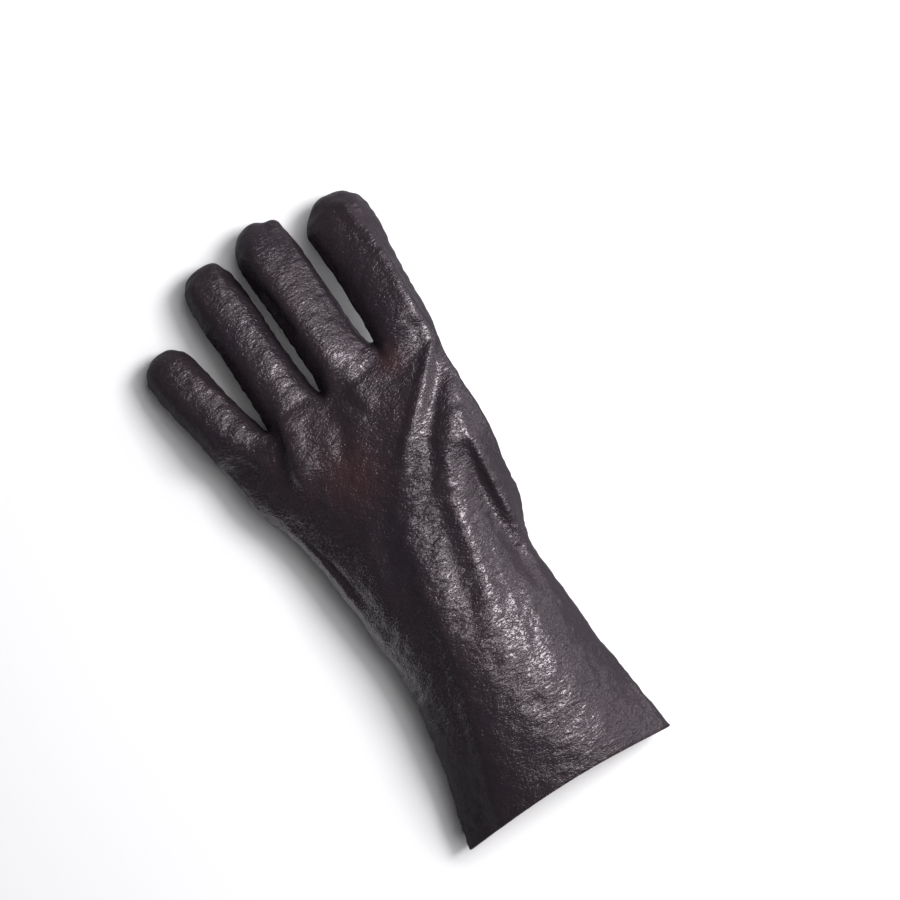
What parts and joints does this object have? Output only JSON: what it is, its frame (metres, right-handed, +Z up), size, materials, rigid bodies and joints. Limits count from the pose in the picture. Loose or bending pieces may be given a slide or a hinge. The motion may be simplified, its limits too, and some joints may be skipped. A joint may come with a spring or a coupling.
{
  "type": "pvc coated work glove",
  "caption": "Left-hand PVC-coated work glove with a flared gauntlet cuff and knit lining, lying back up with its thumb tucked under the palm.",
  "frame": {"origin": "on the ground under the middle of the glove's box", "axes": "+Y from the cuff's hem to the fingertips, +X to the thumb's side, +Z up out of the back of the hand"},
  "size_m": [0.1304, 0.2976, 0.0551],
  "materials": {
    "coating": "dipped black PVC, semi-gloss, finely pebbled",
    "lining": "undyed knit cotton, matt"
  },
  "bodies": {
    "root": {"coating": "coating", "lining": "lining"}
  },
  "joints": []
}
